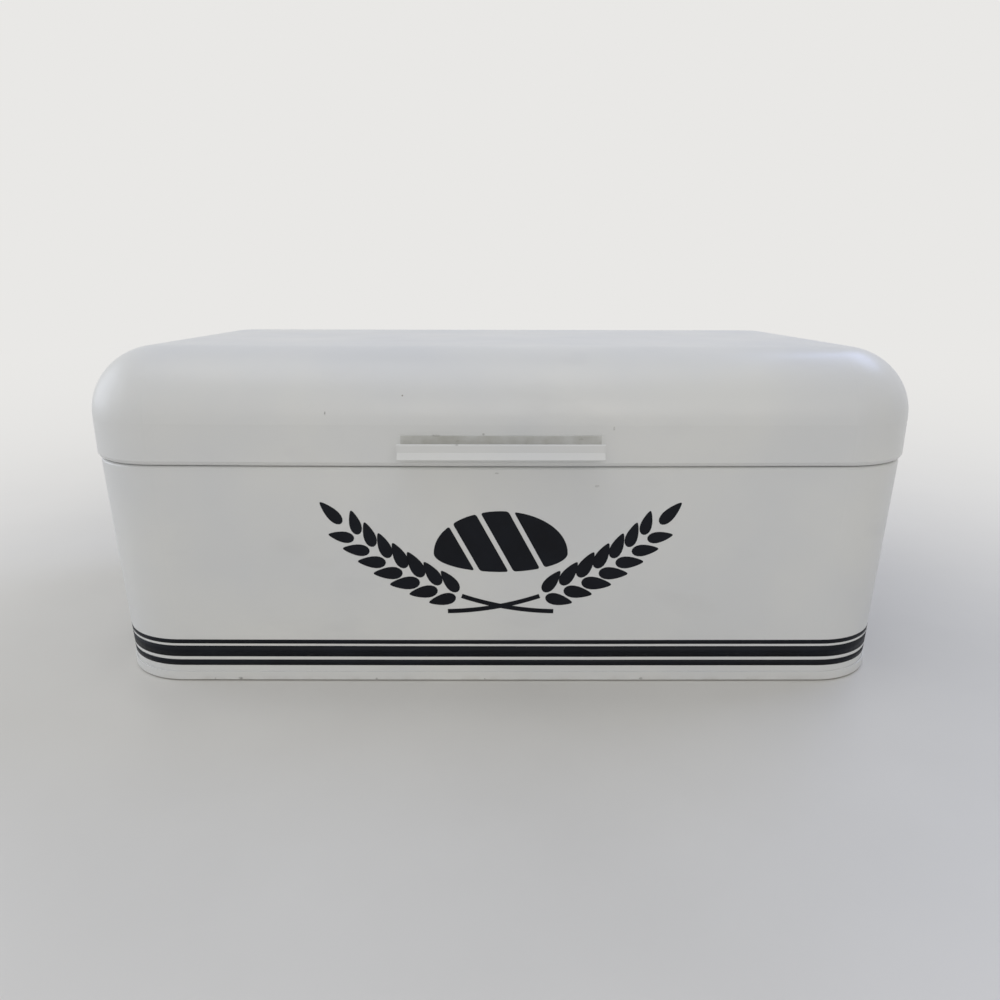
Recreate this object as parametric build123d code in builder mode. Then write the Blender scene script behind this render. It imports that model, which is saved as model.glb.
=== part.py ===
from build123d import *
import os
from collections import namedtuple
from math import atan2, cos, degrees, radians, sin, sqrt, tan

# A steel bread bin: a deep drawn lid, hinged at the back, on a tapered tub.
# X runs to the right, Y to the back and Z up, in millimetres. The counter is z = 0.

# ---------------------------------------------------------------- driving sizes
# Whole bin
lid_width = 427.5  # outside, over the side walls of the lid
lid_depth = 225.0  # outside, from the middle of the bowed front to the back
lid_height = 55.7  # from the lowest line of the lid's hem to its top
seam_height = 117.7  # that lowest line above the counter
corner_radius = 42.0  # lid corners seen from above
edge_radius = 35.0  # rounding all round the top of the lid
inner_flats = 6  # flats that make the inside of that rounding
front_bow = 3.2  # how far the front swells out in its middle
sheet = 0.7  # painted steel sheet of lid, tub and bottom

# Hem of the lid, rolled inwards in flats
hem_radius = 3.2  # outside radius of the roll
hem_turns = (0, 30, 60, 90, 150, 210)  # degrees each flat has turned from the wall

# Tub
lid_overhang = 1.4  # lid outside the tub, on every side
side_taper = 4.7  # each side wall draws in by this much from seam to rim
front_taper = 1.4  # the front and the back draw in by this much
base_bow = 0.4  # what is left of the front's bow at the rim
base_corner_radius = 39.0
seat_gap = 0.4  # between the closed lid and the shoulder it rests on
shoulder_radius = 1.6
neck_clearance = 1.0  # between the lid's hem and the neck inside it
neck_height = 8.0  # neck above the shoulder
neck_fold_width = 2.6  # safe edge folded inwards on top of the neck
neck_fold_drop = 3.5

# Bottom, seamed round the foot of the tub
rim_top = 5.4  # top of the seam's skirt above the counter
foot_proud = 0.5  # the feet hold the rim this far off the counter
seam_gap = 0.1  # between the folded bottom and the wall it grips
seam_room = 0.6  # under the wall's lower edge, inside the fold
floor_rise = 4.3  # underside of the floor above the rim's lower edge
floor_lap = 2.8  # flat edge of the floor that is swept with the seam
fold_radius = 0.9

# Rubber feet
foot_radius = 7.0
foot_inset = 34.0  # foot's centre from the tub's outside at the rim

# Vents through the back of the tub
vent_length = 22.0
vent_width = 5.0
vent_pitch = 34.0
vent_count = 3
vent_height = 88.0

# Handle: an extruded strip on the lid's front, heights measured from the seam
handle_length = 98.4
handle_sheet = 1.2
handle_reach = 10.3  # face of the bar in front of the lid
lip_flare = 1.6  # the lower lip leans out this much more
flange_bottom = 3.6
flange_top = 16.0
bar_bottom = 5.9
bar_crease = 9.6  # where the lip starts to lean out, level with the web
bar_top = 13.5
handle_tip_radius = 0.5
handle_root_radius = 0.6
handle_rivet_spacing = 72.0

# Two butt hinges, their leaves spot-welded to the back
hinge_spacing = 240.0  # between the middles of the hinges
hinge_length = 40.0
leaf_height = 16.0
leaf_sheet = 1.0
leaf_corner = 3.0
knuckle_radius = 2.4
knuckle_gap = 0.4
body_knuckles = 2  # the lid's leaf has one less, between them
leaf_relief = 0.6  # between a leaf's edge and the other leaf's knuckles
pin_radius = 1.2
pin_clearance = 0.05
pin_end = 0.5  # how far the staked pin stands out of the outer knuckles
pivot_drop = 0.7  # hinge axis below the seam

# Rivets of the handle
rivet_radius = 1.5
rivet_clearance = 0.1
rivet_head_radius = 2.8
rivet_head_height = 1.0
rivet_tail_radius = 2.2
rivet_tail_height = 0.7

# ---------------------------------------------------------------- derived sizes
Plan = namedtuple("Plan", "width depth corner bow")

LID = Plan(lid_width, lid_depth, corner_radius, front_bow)
BASE = Plan(
    lid_width - 2 * (lid_overhang + side_taper),
    lid_depth - 2 * (lid_overhang + front_taper),
    base_corner_radius,
    base_bow,
)

overall_height = seam_height + lid_height
hem_height = seam_height + hem_radius
shoulder_top = seam_height - seat_gap
collar_foot = shoulder_top - 2 * shoulder_radius  # the tapered wall ends here
neck_top = shoulder_top + neck_height
rim_bottom = foot_proud
wall_foot = rim_bottom + sheet + seam_room
wall_slope = front_taper / (collar_foot - rim_top)
floor_under = rim_bottom + floor_rise

web_top = seam_height + bar_crease + handle_sheet / 2
web_bottom = seam_height + bar_crease - handle_sheet / 2
bar_inside = handle_reach - handle_sheet
lip_tip = handle_reach + lip_flare
handle_rivet_height = (seam_height + flange_bottom + web_bottom) / 2

pivot_height = seam_height - pivot_drop
pivot_reach = knuckle_radius  # the knuckles touch the plane of the lid's back
knuckle_pitch = hinge_length / (2 * body_knuckles - 1)
knuckle_length = knuckle_pitch - knuckle_gap
lid_leaf_edge = pivot_height + knuckle_radius + leaf_relief
body_leaf_edge = pivot_height - knuckle_radius - leaf_relief
hinge_places = {"left": -hinge_spacing / 2, "right": hinge_spacing / 2}
handle_rivet_places = [-handle_rivet_spacing / 2, handle_rivet_spacing / 2]

# The origin lies under the middle of the whole bin, so the tub's own middle is
# set back by half of what the handle reaches out further than the hinges.
tub_y = (lip_tip - pivot_reach - knuckle_radius) / 2
front_y = tub_y - lid_depth / 2
back_y = tub_y + lid_depth / 2


# ---------------------------------------------------------------- planes and sections
def level(height):
    """Horizontal plane over the middle of the tub."""
    return Plane(origin=(0, tub_y, height))


def front_section(x):
    """Upright plane across the front: X runs out from the lid's face, Y is height."""
    return Plane(origin=(x, front_y, 0), x_dir=(0, -1, 0), z_dir=(-1, 0, 0))


def back_section(x):
    """Upright plane across the back: X runs out from the lid's back, Y is height."""
    return Plane(origin=(x, back_y, 0), x_dir=(0, 1, 0), z_dir=(1, 0, 0))


def front_face(height):
    """Upright plane on the lid's front, facing out."""
    return Plane(origin=(0, front_y, height), x_dir=(1, 0, 0), z_dir=(0, -1, 0))


def back_face(height):
    """Upright plane on the lid's back, facing out."""
    return Plane(origin=(0, back_y, height), x_dir=(-1, 0, 0), z_dir=(0, 1, 0))


def bow_radius(plan):
    return ((plan.width / 2) ** 2 + plan.bow**2) / (2 * plan.bow)


def bow_drop(plan, x):
    """How far the bowed front lies behind its middle at a distance x to the side."""
    return bow_radius(plan) - sqrt(bow_radius(plan) ** 2 - x**2)


def wall_reach(height):
    """Outside of the tub's back at a height, measured out from the lid's back."""
    return -lid_overhang - wall_slope * (collar_foot - height)


def outline(height, plan, inset=0.0):
    """The bin seen from above: round corners, straight sides and a bowed front."""
    centre = -plan.depth / 2 + bow_radius(plan)
    corner_x = plan.width / 2 - plan.corner
    corner_back = plan.depth / 2 - plan.corner
    corner_front = centre - sqrt((bow_radius(plan) - plan.corner) ** 2 - corner_x**2)
    swing = degrees(atan2(corner_x, centre - corner_front))
    radius = plan.corner - inset
    side = corner_x + radius
    back = corner_back + radius
    with BuildSketch(level(height)) as face:
        with BuildLine():
            CenterArc((0, centre), bow_radius(plan) - inset, 270 - swing, 2 * swing)
            CenterArc((corner_x, corner_front), radius, 270 + swing, 90 - swing)
            Line((side, corner_front), (side, corner_back))
            CenterArc((corner_x, corner_back), radius, 0, 90)
            Line((corner_x, back), (-corner_x, back))
            CenterArc((-corner_x, corner_back), radius, 90, 90)
            Line((-side, corner_back), (-side, corner_front))
            CenterArc((-corner_x, corner_front), radius, 180, 90 - swing)
        make_face()
    return face.sketch


def across(path):
    """Upright plane at a path's start: X runs out of the bin and Y up, from the path."""
    outward = (path % 0).cross(Vector(0, 0, 1))
    if outward.dot(path @ 0 - path.center()) < 0:
        outward = -outward
    return Plane(origin=path @ 0, x_dir=outward, z_dir=outward.cross(Vector(0, 0, 1)))


def bend(before, corner, after, radius, flats=1):
    """The points that turn a corner of a folded line in flats laid round a radius."""
    before, corner, after = Vector(*before), Vector(*corner), Vector(*after)
    way_in = (corner - before).normalized()
    way_out = (after - corner).normalized()
    turn = atan2(way_in.cross(way_out).Z, way_in.dot(way_out))
    side = Vector(-way_in.Y, way_in.X) * (1 if turn > 0 else -1)
    centre = corner - way_in * radius * tan(abs(turn) / 2) + side * radius
    step = turn / (flats + 1)
    spoke = side * (-radius / cos(step / 2))
    points = [centre + spoke.rotate(Axis.Z, degrees(step * (k + 0.5))) for k in range(flats + 1)]
    return [(point.X, point.Y) for point in points]


def folded_sheet(path, corners, side):
    """Section of a folded sheet at a path's start, from the corners of its outer face."""
    with BuildSketch(across(path)) as section:
        with BuildLine():
            Polyline(*corners)
            offset(amount=sheet, side=side, kind=Kind.INTERSECTION)
        make_face()
    return section.sketch


# ---------------------------------------------------------------- lid
with BuildPart() as lid_hollow:
    # The inside of the lid, its rounded edge worked in flats because it is hidden.
    # The flats touch the inner radius, so the sheet is thinnest at their corners.
    bend_height = overall_height - edge_radius
    flat_turn = radians(90 / (inner_flats + 1))
    spoke = (edge_radius - sheet) / cos(flat_turn / 2)
    corners = [
        (spoke * cos(flat_turn * (k + 0.5)), bend_height + spoke * sin(flat_turn * (k + 0.5)))
        for k in range(inner_flats + 1)
    ]
    extrude(outline(hem_height, LID, sheet), amount=corners[0][1] - hem_height)
    loft([outline(height, LID, edge_radius - reach) for reach, height in corners], ruled=True)

with BuildPart() as lid_shell:
    extrude(outline(hem_height, LID), amount=overall_height - hem_height)
    fillet(lid_shell.faces().sort_by(Axis.Z)[-1].edges(), edge_radius)
    add(lid_hollow.part, mode=Mode.SUBTRACT)

    lid_path = outline(hem_height, LID).wire()
    # The hem is the same sheet, rolled inwards below the wall
    roll = [(0, 0)]
    for start, end in zip(hem_turns, hem_turns[1:]):
        spoke = hem_radius / cos(radians(end - start) / 2)
        way = radians(start + end) / 2
        roll.append((spoke * cos(way) - hem_radius, -spoke * sin(way)))
    sweep(folded_sheet(lid_path, roll, Side.RIGHT), path=lid_path)

    with BuildSketch(front_face(handle_rivet_height)):
        with Locations([(x, 0) for x in handle_rivet_places]):
            Circle(rivet_radius + rivet_clearance)
    extrude(amount=hem_radius, both=True, mode=Mode.SUBTRACT)
lid_shell.part.label = "lid_shell"

# ---------------------------------------------------------------- tub
with BuildPart() as tub_wall:
    # Straight foot, gripped by the bottom's seam, then the tapered wall
    extrude(outline(wall_foot, BASE), amount=rim_top - wall_foot)
    loft([outline(rim_top, BASE), outline(collar_foot, LID, lid_overhang)], ruled=True)
    extrude(outline(wall_foot, BASE, sheet), amount=rim_top - wall_foot, mode=Mode.SUBTRACT)
    loft(
        [outline(rim_top, BASE, sheet), outline(collar_foot, LID, lid_overhang + sheet)],
        ruled=True,
        mode=Mode.SUBTRACT,
    )

    # Collar: the shoulder that carries the lid, and the neck that guides it
    collar_path = outline(collar_foot, LID, lid_overhang).wire()
    shoulder = shoulder_top - collar_foot
    neck = lid_overhang - 2 * hem_radius - neck_clearance
    fold = neck - neck_fold_width
    fold_top = neck_top - collar_foot
    collar = [
        (0, 0),
        (0, shoulder),
        (neck, shoulder),
        (neck, fold_top),
        (fold, fold_top),
        (fold, fold_top - neck_fold_drop),
    ]
    collar_corners = [
        collar[0],
        *bend(*collar[0:3], shoulder_radius, flats=2),
        *collar[2:],
    ]
    sweep(folded_sheet(collar_path, collar_corners, Side.LEFT), path=collar_path)

    # Vents through the back
    with BuildSketch(back_face(vent_height)):
        with GridLocations(vent_pitch, 1, vent_count, 1):
            SlotOverall(vent_length, vent_width)
    extrude(amount=-2 * (lid_overhang + front_taper + sheet), mode=Mode.SUBTRACT)
tub_wall.part.label = "tub_wall"

# ---------------------------------------------------------------- bottom
with BuildPart() as bottom_pan:
    # Seam folded round the foot of the wall, and the floor inside it
    pan_path = outline(rim_bottom, BASE).wire()
    skirt = seam_gap + sheet
    inner_leg = -2 * sheet - seam_gap
    floor_edge = inner_leg - floor_lap
    seam = [
        (skirt, rim_top - rim_bottom),
        (skirt, 0),
        (inner_leg, 0),
        (inner_leg, floor_rise),
        (floor_edge, floor_rise),
    ]
    seam_corners = [
        seam[0],
        *bend(*seam[0:3], fold_radius),
        *seam[2:],
    ]
    sweep(folded_sheet(pan_path, seam_corners, Side.RIGHT), path=pan_path)
    extrude(outline(floor_under, BASE, -floor_edge), amount=sheet)
bottom_pan.part.label = "bottom_pan"

# ---------------------------------------------------------------- handle
with BuildPart() as handle:
    with BuildSketch(front_section(0)) as handle_section:
        with BuildLine():
            Polyline(
                (0, seam_height + flange_bottom),
                (0, seam_height + flange_top),
                (handle_sheet, seam_height + flange_top),
                (handle_sheet, web_top),
                (bar_inside, web_top),
                (bar_inside, seam_height + bar_top),
                (handle_reach, seam_height + bar_top),
                (handle_reach, seam_height + bar_crease),
                (lip_tip, seam_height + bar_bottom),
                (lip_tip - handle_sheet, seam_height + bar_bottom),
                (bar_inside, web_bottom),
                (handle_sheet, web_bottom),
                (handle_sheet, seam_height + flange_bottom),
                close=True,
            )
        make_face()
        by_height = handle_section.vertices().filter_by_position(
            Axis.X, bar_inside, lip_tip
        ).group_by(Axis.Y)
        fillet(by_height[0] + by_height[-1], handle_tip_radius)
        web_corners = handle_section.vertices().filter_by_position(
            Axis.Y, web_bottom, web_top
        )
        fillet(
            web_corners.filter_by_position(Axis.X, 0, bar_inside), handle_root_radius
        )
    extrude(amount=handle_length / 2, both=True)
    with BuildSketch(front_face(handle_rivet_height)):
        with Locations([(x, 0) for x in handle_rivet_places]):
            Circle(rivet_radius + rivet_clearance)
    extrude(amount=bar_inside / 2, both=True, mode=Mode.SUBTRACT)
handle.part.label = "handle"


# ---------------------------------------------------------------- hinges
def plate_section(x, low, high, low_reach, high_reach):
    """Section of a leaf's flat, whose back lies along the wall it is welded to."""
    with BuildSketch(back_section(x)) as section:
        with BuildLine():
            Polyline(
                (low_reach, low),
                (high_reach, high),
                (high_reach + leaf_sheet, high),
                (low_reach + leaf_sheet, low),
                close=True,
            )
        make_face()
    return section.sketch


def knuckle_section(x, edge_height, edge_reach):
    """Section of a knuckle, with the tail that joins it to its leaf's edge."""
    with BuildSketch(back_section(x)) as section:
        with BuildLine():
            Polyline(
                (0, pivot_height),
                (leaf_sheet, pivot_height),
                (edge_reach + leaf_sheet, edge_height),
                (edge_reach, edge_height),
                close=True,
            )
        make_face()
        with Locations((pivot_reach, pivot_height)):
            Circle(knuckle_radius)
            Circle(pin_radius + pin_clearance, mode=Mode.SUBTRACT)
    return section.sketch


hinge_parts = {}
for side, x in hinge_places.items():
    first = x - (body_knuckles - 1) * knuckle_pitch
    stations = [first + i * knuckle_pitch for i in range(2 * body_knuckles - 1)]

    with BuildPart() as body_leaf:
        low = body_leaf_edge - leaf_height
        edge_reach = wall_reach(body_leaf_edge)
        flat = plate_section(x, low, body_leaf_edge, wall_reach(low), edge_reach)
        extrude(flat, amount=hinge_length / 2, both=True)
        fillet(body_leaf.edges().filter_by(Axis.Y).group_by(Axis.Z)[0], leaf_corner)
        for station in stations[0::2]:
            barrel = knuckle_section(station, body_leaf_edge, edge_reach)
            extrude(barrel, amount=knuckle_length / 2, both=True)
    hinge_parts[f"{side}_hinge_body_leaf"] = body_leaf

    with BuildPart() as lid_leaf:
        high = lid_leaf_edge + leaf_height
        extrude(
            plate_section(x, lid_leaf_edge, high, 0, 0), amount=hinge_length / 2, both=True
        )
        fillet(lid_leaf.edges().filter_by(Axis.Y).group_by(Axis.Z)[-1], leaf_corner)
        for station in stations[1::2]:
            barrel = knuckle_section(station, lid_leaf_edge, 0)
            extrude(barrel, amount=knuckle_length / 2, both=True)
    hinge_parts[f"{side}_hinge_lid_leaf"] = lid_leaf

    with BuildPart() as hinge_pin:
        with BuildSketch(Plane.YZ.offset(x)):
            with Locations((back_y + pivot_reach, pivot_height)):
                Circle(pin_radius)
        extrude(amount=hinge_length / 2 + pin_end, both=True)
    hinge_parts[f"{side}_hinge_pin"] = hinge_pin

# ---------------------------------------------------------------- handle's rivets
with BuildPart() as handle_rivets:
    for x in handle_rivet_places:
        head_seat = bow_drop(LID, abs(x) + rivet_head_radius) + sheet
        with BuildSketch(front_section(x)) as rivet_section:
            with BuildLine():
                Polyline(
                    (-head_seat - rivet_head_height, handle_rivet_height),
                    (-head_seat - rivet_head_height, handle_rivet_height + rivet_head_radius),
                    (-head_seat, handle_rivet_height + rivet_head_radius),
                    (-head_seat, handle_rivet_height + rivet_radius),
                    (handle_sheet, handle_rivet_height + rivet_radius),
                    (handle_sheet, handle_rivet_height + rivet_tail_radius),
                    (handle_sheet + rivet_tail_height, handle_rivet_height + rivet_tail_radius),
                    (handle_sheet + rivet_tail_height, handle_rivet_height),
                    close=True,
                )
            make_face()
        revolve(
            rivet_section.sketch,
            axis=Axis((x, front_y, handle_rivet_height), (0, 1, 0)),
        )
handle_rivets.part.label = "handle_rivets"

# ---------------------------------------------------------------- feet
feet = {}
foot_x = BASE.width / 2 - foot_inset
foot_y = BASE.depth / 2 - foot_inset
for side, x in (("left", -foot_x), ("right", foot_x)):
    for end, y in (("front", -foot_y), ("back", foot_y)):
        with BuildPart() as foot:
            with BuildSketch(level(floor_under)):
                with Locations((x, y)):
                    Circle(foot_radius)
            extrude(amount=-floor_under)
        feet[f"{end}_{side}_foot"] = foot

# ---------------------------------------------------------------- write the pieces
os.makedirs("parts", exist_ok=True)
for name, piece in {**hinge_parts, **feet}.items():
    piece.part.label = name
    export_step(piece.part, f"parts/{name}.step")
for piece in (lid_shell, tub_wall, bottom_pan, handle, handle_rivets):
    export_step(piece.part, f"parts/{piece.part.label}.step")
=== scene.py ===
# %% [markdown]
# A painted steel bread bin.
# The pressed steel, the folded seams and the hinges come ready made from the CAD frame.
# Here the bin gets its surface: a white powder coat, printed bands and a printed ornament, the
# marks of spot welds, the small signs of use that a kitchen leaves, and some painted shade at its
# foot and behind the handle.

from math import cos, pi, radians, sin

import bmesh
import bpy
from mathutils import Matrix, Vector
from mathutils.bvhtree import BVHTree


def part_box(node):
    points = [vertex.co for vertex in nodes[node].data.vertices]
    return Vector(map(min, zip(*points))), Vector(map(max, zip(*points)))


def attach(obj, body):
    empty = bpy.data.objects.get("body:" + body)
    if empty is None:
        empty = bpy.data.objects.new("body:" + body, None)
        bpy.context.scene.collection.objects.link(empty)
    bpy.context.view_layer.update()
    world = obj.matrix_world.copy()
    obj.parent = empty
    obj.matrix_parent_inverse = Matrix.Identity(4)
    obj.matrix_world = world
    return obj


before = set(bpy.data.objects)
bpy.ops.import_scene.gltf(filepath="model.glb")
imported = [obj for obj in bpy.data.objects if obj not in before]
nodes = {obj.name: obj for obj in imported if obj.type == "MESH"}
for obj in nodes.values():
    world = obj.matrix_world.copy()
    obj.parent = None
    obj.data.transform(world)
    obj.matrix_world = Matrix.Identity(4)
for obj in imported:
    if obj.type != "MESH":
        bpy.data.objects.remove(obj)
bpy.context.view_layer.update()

MM = 0.001

# %% [markdown]
# Every finish below is a node material.
# A colour picker shows colours as sRGB, but a shader calculates in linear light, so one function
# turns the first into the second.

# %% Hex colours to linear light
def colour(code):
    """An sRGB hex colour as linear red, green and blue with full alpha."""
    channels = [int(code[i:i + 2], 16) / 255 for i in (1, 3, 5)]
    linear = [c / 12.92 if c <= 0.04045 else ((c + 0.055) / 1.055) ** 2.4 for c in channels]
    return (*linear, 1.0)


print("white in linear light:", [round(c, 3) for c in colour("#E2E2DF")])

# %% [markdown]
# A node material is a chain of small steps, and each step needs the same three things: a node,
# its settings, and something in each of its inputs. One helper does all three at once.
# An input is called by its name, or by its number where two share a name. A value is set, and a
# node or a socket is linked, a node by its first live output.

# %% Add a node
def add(tree, kind, settings=None, inputs=None):
    """Adds a node, sets its settings, and fills or links each of its inputs."""
    node = tree.nodes.new(kind)
    for name, value in (settings or {}).items():
        setattr(node, name, value)
    for key, value in (inputs or {}).items():
        if isinstance(key, int):
            socket = node.inputs[key]
        else:
            socket = next(s for s in node.inputs if s.name == key and s.enabled)
        if isinstance(value, bpy.types.Node):
            value = next(s for s in value.outputs if s.enabled)
        if isinstance(value, bpy.types.NodeSocket):
            tree.links.new(value, socket)
        else:
            socket.default_value = value
    return node


def empty_finish(name):
    """A new material and its node tree, with nothing in it yet."""
    material = bpy.data.materials.new(name)
    material.use_nodes = True
    material.node_tree.nodes.clear()
    return material, material.node_tree


# %% [markdown]
# Powder coat is a dry polymer powder, blown onto the earthed sheet and melted in an oven.
# It flows into a satin skin that is never quite flat. A white one is a touch warm in its body,
# and its thickness drifts over a hand's breadth, which shifts the white a little.
# One colour all over would look like paper, so two whites are mixed by cloud noise. The noise's
# scale is one over the size of a cloud, in metres.

# %% Powder coat: the white
CLOUD = 90 * MM
powder_coat, coat = empty_finish("powder_coat_white")
at = add(coat, "ShaderNodeTexCoord").outputs["Object"]
clouds = add(coat, "ShaderNodeTexNoise", inputs={
    "Vector": at, "Scale": 1 / CLOUD, "Detail": 3.0})
drift = add(coat, "ShaderNodeMapRange", inputs={
    "Value": clouds, "From Min": 0.35, "From Max": 0.65})
paint = add(coat, "ShaderNodeMix", {"data_type": "RGBA"}, {
    "Factor": drift, "A": colour("#E2E2DF"), "B": colour("#DBDCDC")})
print("powder coat started with", len(coat.nodes), "nodes")

# %% [markdown]
# Hands and cloths pass along a bin more than up and down it, so its rubbed patches are longer
# than high. They could be painted by hand on an image, but that needs an unwrapped mesh. Noise
# needs none: behind a Mapping node, a scale under one stretches its patches along X and Y, and a
# scale over one flattens them along Z.

# %% Powder coat: rubbed patches
PATCH = 26 * MM
along = add(coat, "ShaderNodeMapping", inputs={"Vector": at, "Scale": (0.45, 0.45, 1.2)})
patches = add(coat, "ShaderNodeTexNoise", inputs={
    "Vector": along, "Scale": 1 / PATCH, "Detail": 4.0})
rubbed = add(coat, "ShaderNodeMapRange", inputs={
    "Value": patches, "From Min": 0.60, "From Max": 0.78, "To Max": 0.30})
paint = add(coat, "ShaderNodeMix", {"data_type": "RGBA"}, {
    "Factor": rubbed, "A": paint, "B": colour("#CFCFCE")})
print("patches of about", PATCH / MM, "mm")

# %% [markdown]
# Dust that lands on the coat before it is baked stays in it as a nib of half a millimetre, drawn
# a little larger here so that it shows. As bodies the nibs would cost thousands of faces, so they
# are dots of colour. A Voronoi texture scatters one point in every cell. The distance to it draws
# a dot, and the cell's random colour picks the cells whose dot is kept.

# %% Powder coat: dust nibs
NIB_CELL = 21 * MM
cells = add(coat, "ShaderNodeTexVoronoi", inputs={"Vector": at, "Scale": 1 / NIB_CELL})
dot = add(coat, "ShaderNodeMapRange", inputs={
    "Value": cells, "From Min": 0.012, "From Max": 0.024, "To Min": 0.75, "To Max": 0.0})
chance = add(coat, "ShaderNodeSeparateColor", inputs={"Color": cells.outputs["Color"]})
kept = add(coat, "ShaderNodeMapRange", inputs={
    "Value": chance, "From Min": 0.55, "From Max": 0.60})
nib = add(coat, "ShaderNodeMath", {"operation": "MULTIPLY"}, {0: dot, 1: kept})
paint = add(coat, "ShaderNodeMix", {"data_type": "RGBA"}, {
    "Factor": nib, "A": paint, "B": colour("#6E675C")})
print("a nib in some cells of", NIB_CELL / MM, "mm")

# %% [markdown]
# A greyer band is painted just above the counter, darkest at the foot: it is painted shade where
# the bin meets the worktop. Its mask is the height above the counter, broken up by noise so that
# it is not a ruled line.

# %% Powder coat: painted shade above the counter
SHADE_CLOUD = 9 * MM
FOOT_SHADE_FULL, FOOT_SHADE_TOP = 0.5 * MM, 4 * MM
xyz = add(coat, "ShaderNodeSeparateXYZ", inputs={"Vector": at}).outputs
low = add(coat, "ShaderNodeMapRange", inputs={
    "Value": xyz["Z"], "From Min": FOOT_SHADE_FULL, "From Max": FOOT_SHADE_TOP,
    "To Min": 1.0, "To Max": 0.0})
shade_clouds = add(coat, "ShaderNodeTexNoise", inputs={
    "Vector": at, "Scale": 1 / SHADE_CLOUD, "Detail": 4.0})
foot_shade_breakup = add(coat, "ShaderNodeMapRange", inputs={
    "Value": shade_clouds, "From Min": 0.42, "From Max": 0.72, "To Max": 0.3})
# Painted shade along the foot: the height mask times the noise darkens the coat next to the
# counter.
foot_shade = add(coat, "ShaderNodeMath", {"operation": "MULTIPLY"}, {0: low, 1: foot_shade_breakup})
paint = add(coat, "ShaderNodeMix", {"data_type": "RGBA"}, {
    "Factor": foot_shade, "A": paint, "B": colour("#A8A092")})
print("a greyer line up to", FOOT_SHADE_TOP / MM, "mm above the counter")

# %% [markdown]
# Years of use leave chips and scuffs where things knock: round the handle, along the seam and at
# the foot. Noise would put them anywhere, so each is placed one by one, in millimetres on the
# front: X, Z, half its length, half its height, and how dark it is. An oval is the distance to a
# point after both axes are divided by its half sizes, and the strongest mark wins where two meet.

# %% Powder coat: chips and scuffs
SCUFFS = [
    (-84.5, 144.0, 0.5, 1.1, 0.70),
    (-31.5, 133.6, 2.6, 0.5, 0.55),
    (-8.5, 134.2, 0.9, 0.7, 0.45),
    (-21.0, 131.0, 1.2, 0.6, 0.40),
    (38.5, 132.0, 1.6, 0.6, 0.35),
    (54.5, 137.0, 0.6, 1.2, 0.40),
    (47.5, 108.0, 1.5, 0.8, 0.30),
    (-2.0, 114.5, 1.4, 0.5, 0.35),
    (-152.0, 1.5, 0.6, 0.8, 0.35),
    (-138.5, 1.6, 1.4, 1.0, 0.65),
    (-66.0, 1.4, 0.9, 0.8, 0.45),
    (75.0, 1.6, 1.2, 0.9, 0.65),
]
front_place = add(coat, "ShaderNodeCombineXYZ", inputs={"X": xyz["X"], "Z": xyz["Z"]})
scuffs = None
for x, z, half_length, half_height, tone in SCUFFS:
    away = add(coat, "ShaderNodeVectorMath", {"operation": "SUBTRACT"}, {
        0: front_place, 1: (x * MM, 0, z * MM)})
    oval = add(coat, "ShaderNodeVectorMath", {"operation": "DIVIDE"}, {
        0: away, 1: (half_length * MM, 1, half_height * MM)})
    reach = add(coat, "ShaderNodeVectorMath", {"operation": "LENGTH"}, {0: oval})
    mark = add(coat, "ShaderNodeMapRange", inputs={
        "Value": reach.outputs["Value"], "From Min": 1.0, "From Max": 0.45, "To Max": tone})
    scuffs = mark if scuffs is None else add(
        coat, "ShaderNodeMath", {"operation": "MAXIMUM"}, {0: scuffs, 1: mark})
print(len(SCUFFS), "scuffs placed")

# %% [markdown]
# A chip in brittle paint has no smooth outline, so fine noise frays the ovals. A second mask
# keeps them to the front, because their places name no depth and would show on the back too.

# %% Powder coat: frayed edges, on the front alone
GRIT = 0.9 * MM
FRONT_FROM, FRONT_FULL = -60 * MM, -80 * MM
grit = add(coat, "ShaderNodeTexNoise", inputs={
    "Vector": at, "Scale": 1 / GRIT, "Detail": 3.0})
frayed = add(coat, "ShaderNodeMapRange", inputs={
    "Value": grit, "From Min": 0.30, "From Max": 0.62})
on_front = add(coat, "ShaderNodeMapRange", inputs={
    "Value": xyz["Y"], "From Min": FRONT_FROM, "From Max": FRONT_FULL})
for mask in (frayed, on_front):
    scuffs = add(coat, "ShaderNodeMath", {"operation": "MULTIPLY"}, {0: scuffs, 1: mask})
paint = add(coat, "ShaderNodeMix", {"data_type": "RGBA"}, {
    "Factor": scuffs, "A": paint, "B": colour("#4A453C")})
print("edges frayed by grit of", GRIT / MM, "mm")

# %% [markdown]
# Behind the bar of the handle is a narrow channel that the bar shades, and a little grease and
# flour dust gather there too. Its greyer tone is mostly painted shade and partly dust. The mask
# is a box round the channel, with soft ends: a length along the front, a height, and a depth that
# leaves out the bar itself. Noise breaks it up.

# %% Powder coat: painted shade and dust in the handle's channel
CHANNEL_HALF = 48.8 * MM
CHANNEL_FOOT, CHANNEL_TOP = 127.5 * MM, 133.8 * MM
CHANNEL_FRONT = -113.5 * MM
side = add(coat, "ShaderNodeMath", {"operation": "ABSOLUTE"}, {0: xyz["X"]})
length = add(coat, "ShaderNodeMapRange", inputs={
    "Value": side, "From Min": CHANNEL_HALF, "From Max": CHANNEL_HALF - 0.5 * MM})
foot = add(coat, "ShaderNodeMapRange", inputs={
    "Value": xyz["Z"], "From Min": CHANNEL_FOOT, "From Max": CHANNEL_FOOT + 0.4 * MM})
top = add(coat, "ShaderNodeMapRange", inputs={
    "Value": xyz["Z"], "From Min": CHANNEL_TOP, "From Max": CHANNEL_TOP - 0.3 * MM})
depth = add(coat, "ShaderNodeMapRange", inputs={
    "Value": xyz["Y"], "From Min": CHANNEL_FRONT, "From Max": CHANNEL_FRONT + 1.5 * MM})
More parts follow.
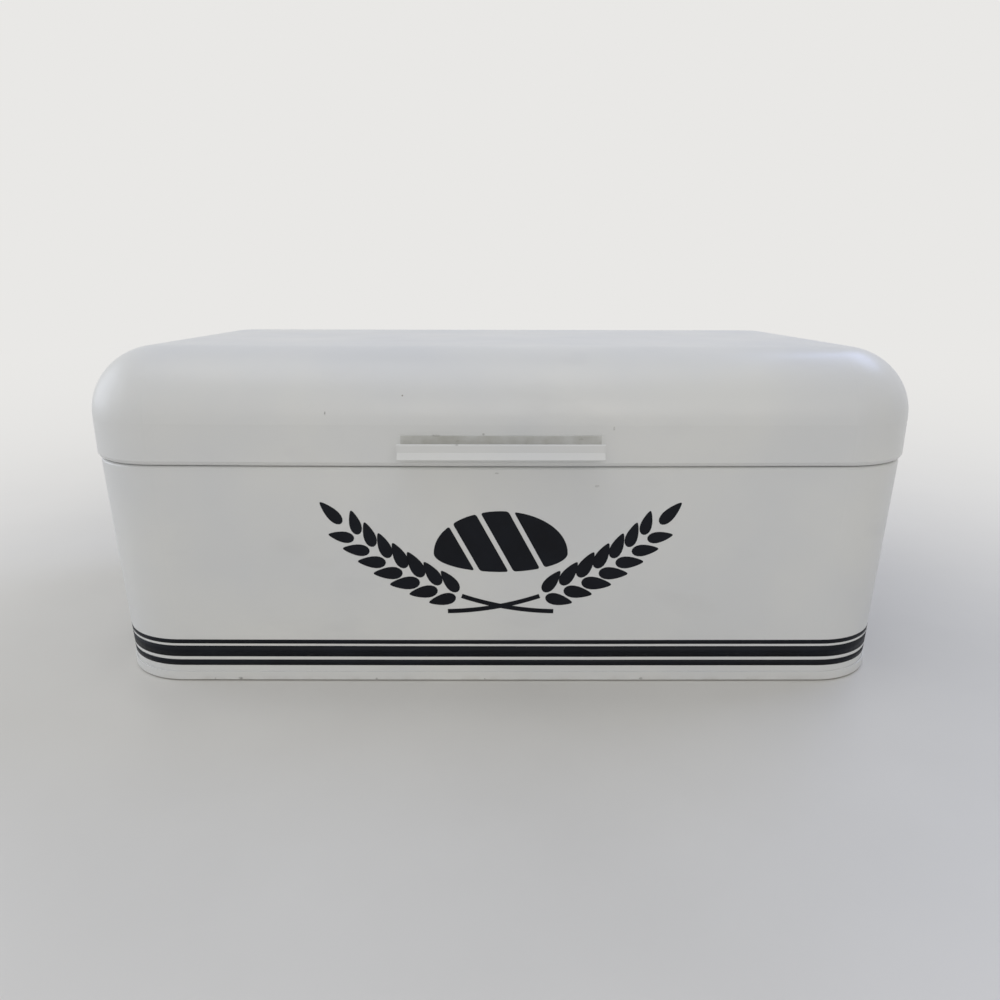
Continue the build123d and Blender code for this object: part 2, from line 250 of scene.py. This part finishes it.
channel_shade_and_dust = add(coat, "ShaderNodeMapRange", inputs={
    "Value": shade_clouds, "From Min": 0.30, "From Max": 0.70, "To Min": 0.35, "To Max": 0.75})
for mask in (length, foot, top, depth, on_front):
    channel_shade_and_dust = add(coat, "ShaderNodeMath", {"operation": "MULTIPLY"}, {0: channel_shade_and_dust, 1: mask})
# Painted shade in the channel, mixed with dust: the coat turns greyer behind the bar.
paint = add(coat, "ShaderNodeMix", {"data_type": "RGBA"}, {
    "Factor": channel_shade_and_dust, "A": paint, "B": colour("#A7A59B")})
print("a dusty channel of", 2 * CHANNEL_HALF / MM, "mm")

# %% [markdown]
# What makes it read as paint is its shine: satin, here and there a little duller, over the fine
# ripple that painters call orange peel, 1.3 mm from crest to crest. Below that the pressed sheet
# itself waves slowly. Two Bump nodes in a row add a small relief to a larger one.

# %% Powder coat: shine and orange peel
DULL_PATCH = 34 * MM
PEEL = 1.3 * MM
SHEET_WAVE = 60 * MM
dull = add(coat, "ShaderNodeTexNoise", inputs={
    "Vector": at, "Scale": 1 / DULL_PATCH, "Detail": 3.0})
satin = add(coat, "ShaderNodeMapRange", inputs={
    "Value": dull, "From Min": 0.3, "From Max": 0.7, "To Min": 0.31, "To Max": 0.41})
peel = add(coat, "ShaderNodeTexNoise", inputs={
    "Vector": at, "Scale": 1 / PEEL, "Detail": 1.0})
peel_bump = add(coat, "ShaderNodeBump", inputs={
    "Height": peel, "Strength": 0.35, "Distance": 0.02 * MM})
sheet = add(coat, "ShaderNodeTexNoise", inputs={
    "Vector": at, "Scale": 1 / SHEET_WAVE, "Detail": 1.0})
sheet_bump = add(coat, "ShaderNodeBump", inputs={
    "Height": sheet, "Strength": 0.5, "Distance": 0.15 * MM, "Normal": peel_bump})
coat_shader = add(coat, "ShaderNodeBsdfPrincipled", inputs={
    "Base Color": paint, "Roughness": satin, "IOR": 1.5, "Normal": sheet_bump})
add(coat, "ShaderNodeOutputMaterial", inputs={"Surface": coat_shader})
print("made", powder_coat.name, "with", len(coat.nodes), "nodes")

# %% [markdown]
# Hinge pins and rivets are mild steel with bright zinc plate.
# Plating follows the drawn wire below it, so the shine is streaked finely along the pin and
# mottled by the crystals of the zinc. It is a metal, so the colour lives in its reflection.
# An anisotropic shader could draw out the highlight, but on a pin as thin as this, noise that is
# stretched along it shows the same with a plain roughness.

# %% Bright zinc plate
CRYSTAL = 1.6 * MM
STREAK = 0.5 * MM
zinc_plate, zinc = empty_finish("bright_zinc_plate")
at = add(zinc, "ShaderNodeTexCoord").outputs["Object"]
crystals = add(zinc, "ShaderNodeTexNoise", inputs={
    "Vector": at, "Scale": 1 / CRYSTAL, "Detail": 3.0})
mottle = add(zinc, "ShaderNodeMapRange", inputs={
    "Value": crystals, "From Min": 0.35, "From Max": 0.65})
metal = add(zinc, "ShaderNodeMix", {"data_type": "RGBA"}, {
    "Factor": mottle, "A": colour("#C9CCCE"), "B": colour("#AEB1B2")})
drawn = add(zinc, "ShaderNodeMapping", inputs={"Vector": at, "Scale": (0.1, 1.0, 1.0)})
streaks = add(zinc, "ShaderNodeTexNoise", inputs={
    "Vector": drawn, "Scale": 1 / STREAK, "Detail": 2.0})
shine = add(zinc, "ShaderNodeMapRange", inputs={
    "Value": streaks, "From Min": 0.3, "From Max": 0.7, "To Min": 0.22, "To Max": 0.38})
relief = add(zinc, "ShaderNodeBump", inputs={
    "Height": streaks, "Strength": 0.3, "Distance": 0.01 * MM})
zinc_shader = add(zinc, "ShaderNodeBsdfPrincipled", inputs={
    "Base Color": metal, "Metallic": 1.0, "Roughness": shine, "Normal": relief})
add(zinc, "ShaderNodeOutputMaterial", inputs={"Surface": zinc_shader})
print("made", zinc_plate.name, "with", len(zinc.nodes), "nodes")

# %% [markdown]
# The feet are moulded nitrile rubber: nearly black, matt, with the fine grain of an eroded mould
# and a bloom of grey dust where they meet the counter. The grain is far too fine to be modelled,
# so one noise gives both the bump and the roughness, and the dust fades out with the height.

# %% Moulded rubber
BLOOM_TOP = 2.5 * MM
FLUFF = 3 * MM
MOULD_GRAIN = 0.4 * MM
moulded_rubber, rubber = empty_finish("nitrile_rubber_moulded")
at = add(rubber, "ShaderNodeTexCoord").outputs["Object"]
height = add(rubber, "ShaderNodeSeparateXYZ", inputs={"Vector": at}).outputs["Z"]
near_floor = add(rubber, "ShaderNodeMapRange", inputs={
    "Value": height, "From Max": BLOOM_TOP, "To Min": 1.0, "To Max": 0.0})
fluff = add(rubber, "ShaderNodeTexNoise", inputs={
    "Vector": at, "Scale": 1 / FLUFF, "Detail": 3.0})
bloom = add(rubber, "ShaderNodeMapRange", inputs={
    "Value": fluff, "From Min": 0.35, "From Max": 0.7, "To Min": 0.1, "To Max": 0.6})
dusty = add(rubber, "ShaderNodeMath", {"operation": "MULTIPLY"}, {0: near_floor, 1: bloom})
black = add(rubber, "ShaderNodeMix", {"data_type": "RGBA"}, {
    "Factor": dusty, "A": colour("#232425"), "B": colour("#5B5853")})
grain = add(rubber, "ShaderNodeTexNoise", inputs={
    "Vector": at, "Scale": 1 / MOULD_GRAIN, "Detail": 2.0})
matt = add(rubber, "ShaderNodeMapRange", inputs={
    "Value": grain, "From Min": 0.3, "From Max": 0.7, "To Min": 0.68, "To Max": 0.82})
relief = add(rubber, "ShaderNodeBump", inputs={
    "Height": grain, "Strength": 0.5, "Distance": 0.02 * MM})
rubber_shader = add(rubber, "ShaderNodeBsdfPrincipled", inputs={
    "Base Color": black, "Roughness": matt, "IOR": 1.52, "Normal": relief})
add(rubber, "ShaderNodeOutputMaterial", inputs={"Surface": rubber_shader})
print("made", moulded_rubber.name, "with", len(rubber.nodes), "nodes")

# %% [markdown]
# Bands and ornament are screen printed in a satin black enamel ink.
# Pure black would hide every turn of the surface, so the ink is a very dark blue-grey. Its film
# is almost even, which shows as a faint drift of tone, and dust leaves a pinhole here and there
# through which the white looks out.

# %% Black enamel ink: its colour
INK_CLOUD = 18 * MM
PINHOLE_CELL = 12 * MM
enamel_ink, ink = empty_finish("enamel_ink_black")
at = add(ink, "ShaderNodeTexCoord").outputs["Object"]
clouds = add(ink, "ShaderNodeTexNoise", inputs={
    "Vector": at, "Scale": 1 / INK_CLOUD, "Detail": 3.0})
film = add(ink, "ShaderNodeMapRange", inputs={
    "Value": clouds, "From Min": 0.35, "From Max": 0.65})
blue_black = add(ink, "ShaderNodeMix", {"data_type": "RGBA"}, {
    "Factor": film, "A": colour("#0E1016"), "B": colour("#14171E")})
cells = add(ink, "ShaderNodeTexVoronoi", inputs={"Vector": at, "Scale": 1 / PINHOLE_CELL})
pinhole = add(ink, "ShaderNodeMapRange", inputs={
    "Value": cells, "From Min": 0.010, "From Max": 0.020, "To Min": 0.5, "To Max": 0.0})
printed = add(ink, "ShaderNodeMix", {"data_type": "RGBA"}, {
    "Factor": pinhole, "A": blue_black, "B": colour("#8C8C8A")})
print("ink has", len(ink.nodes), "nodes so far")

# %% [markdown]
# The ink is a little more matt than the coat, wiped brighter in places, and the screen's mesh
# leaves a grain of 0.6 mm in it. The usual specular level would turn it grey in this bright
# light, so a lower one keeps it black.

# %% Black enamel ink: its shine
WIPED_PATCH = 9 * MM
SCREEN_MESH = 0.6 * MM
wiped = add(ink, "ShaderNodeTexNoise", inputs={
    "Vector": at, "Scale": 1 / WIPED_PATCH, "Detail": 2.0})
satin = add(ink, "ShaderNodeMapRange", inputs={
    "Value": wiped, "From Min": 0.3, "From Max": 0.7, "To Min": 0.40, "To Max": 0.52})
screen = add(ink, "ShaderNodeTexNoise", inputs={
    "Vector": at, "Scale": 1 / SCREEN_MESH, "Detail": 1.0})
relief = add(ink, "ShaderNodeBump", inputs={
    "Height": screen, "Strength": 0.25, "Distance": 0.01 * MM})
ink_shader = add(ink, "ShaderNodeBsdfPrincipled", inputs={
    "Base Color": printed, "Roughness": satin, "IOR": 1.38, "Specular IOR Level": 0.22,
    "Normal": relief})
add(ink, "ShaderNodeOutputMaterial", inputs={"Surface": ink_shader})
print("made", enamel_ink.name, "with", len(ink.nodes), "nodes")

# %% [markdown]
# Each CAD node says which finish it wants by the name of its material slot.
# A list of nodes could be written out here, but it would have to follow every change of the
# frame. Only the material is exchanged; the meshes of the frame stay as they are.

# %% Dress the CAD nodes
finishes = {
    "white_paint": powder_coat,
    "plated_steel": zinc_plate,
    "foot_rubber": moulded_rubber,
    "black_print": enamel_ink,
}
for name, node in nodes.items():
    for slot in node.material_slots:
        slot_name = slot.material.name.split(".")[0]
        slot.material = finishes[slot_name]
    print("dressed", name, "in", [slot.material.name for slot in node.material_slots])

# %% [markdown]
# A new piece starts as a bmesh. When it is done it becomes an object that sits at the origin
# with its place in its mesh, takes its finish, and is told which body carries it.

# %% Turn a bmesh into a piece
def piece_from(bm, name, body, slot_name):
    """Makes an object of a bmesh, gives it its finish and lets it ride on a body."""
    mesh = bpy.data.meshes.new(name)
    bm.to_mesh(mesh)
    bm.free()
    mesh.materials.append(finishes[slot_name])
    piece = bpy.data.objects.new(name, mesh)
    bpy.context.scene.collection.objects.link(piece)
    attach(piece, body)
    print("made", name, "with", len(mesh.polygons), "faces")


# %% [markdown]
# Three black bands run right round the tub: a thin one, a broad one and a middling one.
# They could be drawn as stripes in the paint's material, but then they would be blurred at their
# edges and lost on a plain export. So each is a film of its own: a copy of the wall is cut by
# two level planes, and its inner side is dropped.

# %% Cut a strip of the wall's outside
wall_low, wall_high = (Vector(corner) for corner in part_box("tub_wall"))
tub_middle = (wall_low + wall_high) / 2


def outer_strip(low, high):
    """The outside of the tub's wall between two heights, as a mesh of its own."""
    bm = bmesh.new()
    bm.from_mesh(nodes["tub_wall"].data)
    bmesh.ops.remove_doubles(bm, verts=bm.verts[:], dist=0.001 * MM)
    for height, way in ((low, -1), (high, 1)):
        bmesh.ops.bisect_plane(
            bm, geom=bm.verts[:] + bm.edges[:] + bm.faces[:], dist=0.0001 * MM,
            plane_co=(0, 0, height), plane_no=(0, 0, way), clear_outer=True)
    bm.normal_update()
    inner = []
    for face in bm.faces:
        outwards = (face.calc_center_median() - tub_middle) * Vector((1, 1, 0))
        if face.normal.dot(outwards) < 0:
            inner.append(face)
    bmesh.ops.delete(bm, geom=inner, context="FACES")
    bm.normal_update()
    return bm


# %% [markdown]
# Each strip is lifted off the paint by about the thickness of a hair, and gets its own thickness
# towards the wall, so that it is a closed body and not a bare skin.

# %% Printed bands
INK_LIFT = 0.03 * MM
INK_FILM = 0.05 * MM
BANDS = {
    "upper_band": (21.6, 23.9),
    "broad_band": (14.1, 20.3),
    "lower_band": (9.0, 12.3),
}
for name, (low, high) in BANDS.items():
    band = outer_strip(low * MM, high * MM)
    for vert in band.verts:
        vert.co += vert.normal * (INK_LIFT + INK_FILM)
    bmesh.ops.solidify(band, geom=band.faces[:], thickness=INK_FILM)
    piece_from(band, name, "tub", "black_print")

# %% [markdown]
# The front carries a printed ornament: a loaf over two crossed ears of wheat.
# An image on the paint would blur at its edges, so the ornament is made of shapes. They are drawn
# flat first, in millimetres, with X along the front and Z up.
# A grain is a circle that is stretched and pinched to a drop, a stem is a short edge spun about
# a far centre, and the loaf is an oval cut into slices by pairs of planes.

# %% Flat shapes of the ornament
def flat_disc(bm, segments=20):
    """Adds a filled circle of radius one in the XZ plane and returns its vertices."""
    made = bmesh.ops.create_circle(
        bm, cap_ends=True, segments=segments, radius=1,
        matrix=Matrix.Rotation(radians(90), 4, "X"))
    return made["verts"]


def grain_drop(bm, length, width, place, angle, pinch=0.55):
    """Adds a drop whose blunt end is at a place and which points along an angle."""
    verts = flat_disc(bm)
    for vert in verts:
        along = (vert.co.x + 1) / 2
        vert.co.z *= width / 2 * (1 - pinch * along ** 1.5) * (1.12 - 0.12 * along)
        vert.co.x = along * length
    turn = Matrix.Translation((place[0], 0, place[1])) @ Matrix.Rotation(-angle, 4, "Y")
    bmesh.ops.transform(bm, matrix=turn, verts=verts)


def on_arc(centre, radius, angle):
    """The X and Z of a point on an arc, its angle counted from straight below the centre."""
    return centre[0] + radius * sin(angle), centre[1] - radius * cos(angle)


def stem_arc(bm, centre, radius, width, start, end, steps=28):
    """Adds a strip of even width along an arc, by spinning a short edge."""
    ends = [on_arc(centre, r, start) for r in (radius - width / 2, radius + width / 2)]
    first = [bm.verts.new((x, 0, z)) for x, z in ends]
    edge = bm.edges.new(first)
    bmesh.ops.spin(
        bm, geom=[*first, edge], cent=(centre[0], 0, centre[1]), axis=(0, -1, 0),
        angle=end - start, steps=steps, use_merge=False)


# %% [markdown]
# An ear is a stem with pairs of grains that lean out from it and one grain at its tip.
# Every grain is placed on the same arc as the stem, by its angle, so the ear bends as one.
# The grains are largest in the third row and shrink a little towards both ends.

# %% One ear of wheat
STEM_CENTRE = (-30.0, 190.5)
STEM_RADIUS = 150.0
STEM_WIDTH = 2.4
ROWS = 7
FIRST_ROW, ROW_STEP = radians(20.5), radians(3.8)
GRAIN_LENGTH, GRAIN_WIDTH = 15.5, 7.8
GRAIN_LEAN = radians(33)
BESIDE_STEM = 1.6
TIP_LENGTH, TIP_WIDTH = 15.0, 6.8

ornament = bmesh.new()
stem_arc(ornament, STEM_CENTRE, STEM_RADIUS, STEM_WIDTH, radians(1), radians(19.5))
for row in range(ROWS):
    angle = FIRST_ROW + ROW_STEP * row
    size = 1 - 0.04 * abs(row - 2)
    for way in (1, -1):
        place = on_arc(STEM_CENTRE, STEM_RADIUS - way * BESIDE_STEM, angle)
        grain_drop(
            ornament, GRAIN_LENGTH * size, GRAIN_WIDTH * size, place, angle + way * GRAIN_LEAN)
tip = FIRST_ROW + ROW_STEP * ROWS
grain_drop(ornament, TIP_LENGTH, TIP_WIDTH, on_arc(STEM_CENTRE, STEM_RADIUS, tip), tip)
print("one ear has", len(ornament.faces), "faces")

# %% [markdown]
# The second ear is the mirror image of the first.
# A negative scale turns faces round, so their normals are put right later, when all is in place.

# %% Mirror the ear
other = bmesh.ops.duplicate(
    ornament, geom=ornament.verts[:] + ornament.edges[:] + ornament.faces[:])
second_ear = {g for g in other["geom"] if isinstance(g, bmesh.types.BMVert)}
bmesh.ops.scale(ornament, vec=(-1, 1, 1), verts=list(second_ear))
print("both ears have", len(ornament.faces), "faces")

# %% [markdown]
# The slices of the loaf are to have soft corners, as a brush would leave them, while the round
# of its crust stays as it is. So its corners have to be found: a vertex is one where the two
# edges that meet there are far from a straight line.

# %% Find the corners of a slice
def sharp_corners(bm):
    """The vertices at which the outline turns by more than thirty degrees."""
    corners = []
    for vert in bm.verts:
        before, after = (edge.other_vert(vert).co - vert.co for edge in vert.link_edges)
        if before.angle(after) < radians(150):
            corners.append(vert)
    return corners


# %% [markdown]
# The loaf is an oval that is flatter below its broadest line.
# Each slice is the whole oval cut by two slanting planes a slice apart, drawn in a little so that
# a white gap stays between slices. Then its corners alone are bevelled. A bevel can't be larger
# than the edges beside it, so the points of the oval close to a corner are dissolved first.

# %% A sliced loaf
LOAF_PLACE = (0.0, 72.5)
LOAF_HALF = (34.0, 22.5)
LOAF_BELLY = 0.45  # depth under its broadest line, as a part of the height above it
LOAF_POINTS = 72
CUTS = (-45.0, -15.0, 0.0, 15.0, 45.0)
SLICE_GAP = 2.4
CORNER_ROUND = 1.3
across = Vector((0.88, 0, 0.47)).normalized()
for left, right in zip(CUTS, CUTS[1:]):
    loaf = bmesh.new()
    for vert in flat_disc(loaf, LOAF_POINTS):
        vert.co.x *= LOAF_HALF[0]
        vert.co.z *= LOAF_HALF[1] * (1 if vert.co.z > 0 else LOAF_BELLY)
    for cut, way in ((left + SLICE_GAP / 2, -1), (right - SLICE_GAP / 2, 1)):
        bmesh.ops.bisect_plane(
            loaf, geom=loaf.verts[:] + loaf.edges[:] + loaf.faces[:], dist=0.001,
            plane_co=across * cut, plane_no=across * way, clear_outer=True)
    corners = sharp_corners(loaf)
    near = {edge.other_vert(corner) for corner in corners for edge in corner.link_edges
            if edge.calc_length() < 2 * CORNER_ROUND} - set(corners)
    bmesh.ops.dissolve_verts(loaf, verts=list(near))
    bmesh.ops.bevel(
        loaf, geom=sharp_corners(loaf), offset=CORNER_ROUND, segments=5, profile=0.5,
        material=-1, affect="VERTICES", clamp_overlap=True)
    bmesh.ops.remove_doubles(loaf, verts=loaf.verts[:], dist=0.05)
    bmesh.ops.translate(loaf, vec=(LOAF_PLACE[0], 0, LOAF_PLACE[1]), verts=loaf.verts[:])
    slice_mesh = bpy.data.meshes.new("slice")
    loaf.to_mesh(slice_mesh)
    loaf.free()
    ornament.from_mesh(slice_mesh)
    bpy.data.meshes.remove(slice_mesh)
print("the ornament has", len(ornament.faces), "flat faces")

# %% [markdown]
# The flat drawing now has to lie on a front that bows and leans. A Shrinkwrap modifier could
# press it there. A ray through each point does the same and needs no object for the half-made
# drawing, and a search tree of the wall's faces finds quickly where the ray lands.

# %% Faces to send rays at
def faces_of(node_name):
    """A search tree of the faces of a CAD node."""
    bm = bmesh.new()
    bm.from_mesh(nodes[node_name].data)
    tree = BVHTree.FromBMesh(bm)
    bm.free()
    return tree


# %% [markdown]
# Each point of the drawing is put down on the wall, lifted by the same hair's breadth as the
# bands. The second ear crosses the first, so it lies on top of it, a little higher. Then all
# faces are turned to the front, and a last step gives the ink its thickness.

# %% Lay the ornament on the front
OVERPRINT = 0.02 * MM
RUN_UP = 50 * MM
bmesh.ops.scale(ornament, vec=(MM, MM, MM), verts=ornament.verts[:])
wall = faces_of("tub_wall")
for vert in ornament.verts:
    start = Vector((vert.co.x, wall_low.y - RUN_UP, vert.co.z))
    hit = wall.ray_cast(start, Vector((0, 1, 0)))[0]
    lift = INK_LIFT + INK_FILM + (OVERPRINT if vert in second_ear else 0)
    vert.co = hit + Vector((0, -1, 0)) * lift
bmesh.ops.recalc_face_normals(ornament, faces=ornament.faces[:])
ornament.normal_update()
bmesh.ops.reverse_faces(ornament, faces=[f for f in ornament.faces if f.normal.y > 0])
ornament.normal_update()
bmesh.ops.solidify(ornament, geom=ornament.faces[:], thickness=INK_FILM)
piece_from(ornament, "front_ornament", "tub", "black_print")

# %% [markdown]
# The hinge leaves are spot-welded to the sheet before it is painted.
# Each weld leaves a shallow round dimple with a raised lip, softened by the coat.
# It could be a bump in the paint, but as a small body it catches the light on its lip and is part
# of the mesh itself. A short cone has its top inset twice, the second time pushed down. The
# insets' new vertices come last, after those that the mesh had before, so they are told by count.

# %% One weld mark
WELD_RADIUS = 2.3 * MM
WELD_PROUD = 0.25 * MM
WELD_LIP = 0.5 * MM
WELD_DIP = 0.22 * MM


def weld_mark(bm, place, lean):
    """Adds one weld mark at a place on a surface that faces back and leans by an angle."""
    turn = Matrix.Translation(place) @ Matrix.Rotation(lean - radians(90), 4, "X")
    before = len(bm.verts)
    made = bmesh.ops.create_cone(
        bm, cap_ends=True, segments=28, radius1=WELD_RADIUS, radius2=WELD_RADIUS * 0.86,
        depth=2 * WELD_PROUD)
    faces = {f for v in made["verts"] for f in v.link_faces}
    top = max(faces, key=lambda f: f.calc_center_median().z)
    bmesh.ops.inset_region(bm, faces=[top], thickness=WELD_LIP)
    bmesh.ops.inset_region(bm, faces=[top], thickness=WELD_LIP, depth=-WELD_DIP)
    bmesh.ops.transform(bm, matrix=turn, verts=bm.verts[before:])


# %% [markdown]
# The mark is set three times on each leaf, in a row near the edge that is away from the pin.
# A ray from behind finds the leaf, and the normal at the hit tells how far it leans.

# %% Spot welds on the hinge leaves
WELDS_FROM_EDGE = 8 * MM
WELD_SPACING = 12.5 * MM
BEHIND = 20 * MM
for side in ("left", "right"):
    for kind, body in (("lid", "lid"), ("body", "tub")):
        leaf = f"{side}_hinge_{kind}_leaf"
        low, high = (Vector(corner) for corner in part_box(leaf))
        height = high.z - WELDS_FROM_EDGE if kind == "lid" else low.z + WELDS_FROM_EDGE
        leaf_faces = faces_of(leaf)
        marks = bmesh.new()
        for step in (-1, 0, 1):
            x = (low.x + high.x) / 2 + step * WELD_SPACING
            start = Vector((x, high.y + BEHIND, height))
            hit, normal = leaf_faces.ray_cast(start, Vector((0, -1, 0)))[:2]
            lean = Vector((0, 1, 0)).angle(normal) * (1 if normal.z > 0 else -1)
            weld_mark(marks, hit, lean)
        piece_from(marks, f"{side}_hinge_{kind}_welds", body, "white_paint")

# %% [markdown]
# The bin stands on a plain pale worktop, a large disc that isn't part of the object.
# Its far part and the sky behind it take the backdrop's colour for whatever looks at them, and
# stay plain for the light that falls on the bin. The Light Path node tells the two apart.

# %% What is looked at
def looked_at(tree):
    """One for rays from the camera and for reflected or refracted ones, nothing for the rest."""
    rays = add(tree, "ShaderNodeLightPath").outputs
    either = add(tree, "ShaderNodeMath", {"operation": "MAXIMUM"}, {
        0: rays["Is Camera Ray"], 1: rays["Is Glossy Ray"]})
    return add(tree, "ShaderNodeMath", {"operation": "MAXIMUM"}, {
        0: either, 1: rays["Is Transmission Ray"]})


# %% [markdown]
# The worktop is quartz composite: ground stone set in resin and honed, so it is even and satin,
# with faint clouds in its tone.

# %% Worktop: its stone
BACKDROP = colour("#E9E8E6")
STONE_CLOUD = 120 * MM
quartz, stone = empty_finish("quartz_worktop_pale")
at = add(stone, "ShaderNodeTexCoord").outputs["Object"]
clouds = add(stone, "ShaderNodeTexNoise", inputs={
    "Vector": at, "Scale": 1 / STONE_CLOUD, "Detail": 4.0})
cloudy = add(stone, "ShaderNodeMapRange", inputs={
    "Value": clouds, "From Min": 0.3, "From Max": 0.7})
pale = add(stone, "ShaderNodeMix", {"data_type": "RGBA"}, {
    "Factor": cloudy, "A": colour("#DEDCD7"), "B": colour("#D9D7D2")})
slab = add(stone, "ShaderNodeBsdfPrincipled", inputs={
    "Base Color": pale, "Roughness": 0.42, "IOR": 1.45})
glow = add(stone, "ShaderNodeEmission", inputs={"Color": BACKDROP, "Strength": 1.0})
print("worktop has", len(stone.nodes), "nodes so far")

# %% [markdown]
# Far behind the bin the stone fades into the backdrop, so that no horizon cuts the picture.
# Perspective squeezes what is far, so the fade is even in the picture if it follows one over the
# distance, not the distance itself.

# %% Worktop: its fade to the backdrop
FADE_FROM, FADE_TO = 0.27, 2.6
distance = add(stone, "ShaderNodeVectorMath", {"operation": "LENGTH"}, {0: at})
nearness = add(stone, "ShaderNodeMath", {"operation": "DIVIDE"}, {
    0: 1.0, 1: distance.outputs["Value"]})
far = add(stone, "ShaderNodeMapRange", {"interpolation_type": "SMOOTHSTEP"}, {
    "Value": nearness, "From Min": 1 / FADE_FROM, "From Max": 1 / FADE_TO})
far_seen = add(stone, "ShaderNodeMath", {"operation": "MULTIPLY"}, {
    0: far, 1: looked_at(stone)})
surface = add(stone, "ShaderNodeMixShader", inputs={"Fac": far_seen, 1: slab, 2: glow})
add(stone, "ShaderNodeOutputMaterial", inputs={"Surface": surface})
print("worktop fades from", FADE_FROM, "to", FADE_TO, "m")

# %% [markdown]
# The worktop itself is one flat face, so wide that its rim lies far beyond the fade.

# %% Worktop: its disc
WORKTOP_RADIUS = 6.0
disc = bmesh.new()
bmesh.ops.create_circle(disc, cap_ends=True, segments=96, radius=WORKTOP_RADIUS)
floor_mesh = bpy.data.meshes.new("worktop")
disc.to_mesh(floor_mesh)
disc.free()
floor_mesh.materials.append(quartz)
worktop = bpy.data.objects.new("worktop", floor_mesh)
bpy.context.scene.collection.objects.link(worktop)
print("worktop laid,", 2 * WORKTOP_RADIUS, "m across")

# %% [markdown]
# The sky is an even white that fills the shadows. What the camera and the reflections see is the
# pale backdrop instead, so the picture's background never adds light to the bin.

# %% Sky
FILL = 0.40
world = bpy.data.worlds.new("studio_sky")
world.use_nodes = True
sky = world.node_tree
sky.nodes.clear()
fill = add(sky, "ShaderNodeBackground", inputs={"Color": colour("#F9F9F8"), "Strength": FILL})
backdrop = add(sky, "ShaderNodeBackground", inputs={"Color": BACKDROP, "Strength": 1.0})
dome = add(sky, "ShaderNodeMixShader", inputs={"Fac": looked_at(sky), 1: fill, 2: backdrop})
add(sky, "ShaderNodeOutputWorld", inputs={"Surface": dome})
bpy.context.scene.world = world
print("sky has", len(sky.nodes), "nodes")

# %% [markdown]
# The sky alone would light the bin flatly, so broad area lamps give it soft daylight: a panel
# above, a window on the left, one in front, and a smaller, cooler one high up behind on the
# right, which draws the bluish edge along the lid's rounding. The level is plain, so that a
# colour renders about as it is written.

# %% Lamps
LOOK_AT = Vector((0, 0, 0.09))


def window(name, place, size, watts, tone):
    """A broad area lamp that looks at the middle of the bin."""
    lamp = bpy.data.lights.new(name, "AREA")
    lamp.shape = "RECTANGLE"
    lamp.size, lamp.size_y = size
    lamp.energy = watts
    lamp.color = colour(tone)[:3]
    holder = bpy.data.objects.new(name, lamp)
    turn = (LOOK_AT - Vector(place)).to_track_quat("-Z", "Y").to_matrix().to_4x4()
    holder.matrix_world = Matrix.Translation(place) @ turn
    bpy.context.scene.collection.objects.link(holder)
    print("hung", name, "at", place, "with", watts, "W")


window("ceiling_panel", (-0.2, -0.35, 1.5), (1.4, 1.0), 5.0, "#F4F7FF")
window("left_window", (-1.50, 0.15, 0.56), (1.2, 0.9), 5.2, "#E9F0FF")
window("cool_window", (0.95, 0.50, 1.12), (0.7, 0.5), 4.0, "#BCCEFF")
window("front_window", (0.15, -1.6, 0.62), (1.4, 0.6), 4.4, "#FFFCF8")

# %% [markdown]
# The camera stands close in front of the bin, a little above the lid, and looks down by some
# sixteen degrees. Its lens is wide, as a phone's is, which gives the tub its strong taper in the
# picture.

# %% Camera
CAMERA_PLACE = Vector((-0.00173, -0.45990, 0.20161))
YAW, PITCH, ROLL = radians(0.21), radians(15.956), radians(0.133)
FOCAL_LENGTH, SENSOR = 26.589, 36.0
lens = bpy.data.cameras.new("camera")
lens.lens = FOCAL_LENGTH
lens.sensor_width = SENSOR
lens.clip_start = 0.01
camera = bpy.data.objects.new("camera", lens)
camera.matrix_world = (
    Matrix.Translation(CAMERA_PLACE)
    @ Matrix.Rotation(-YAW, 4, "Z")
    @ Matrix.Rotation(pi / 2 - PITCH, 4, "X")
    @ Matrix.Rotation(ROLL, 4, "Z"))
bpy.context.scene.collection.objects.link(camera)
bpy.context.scene.camera = camera
bpy.context.scene.view_settings.view_transform = "Standard"
print("camera at", tuple(round(c, 3) for c in CAMERA_PLACE))
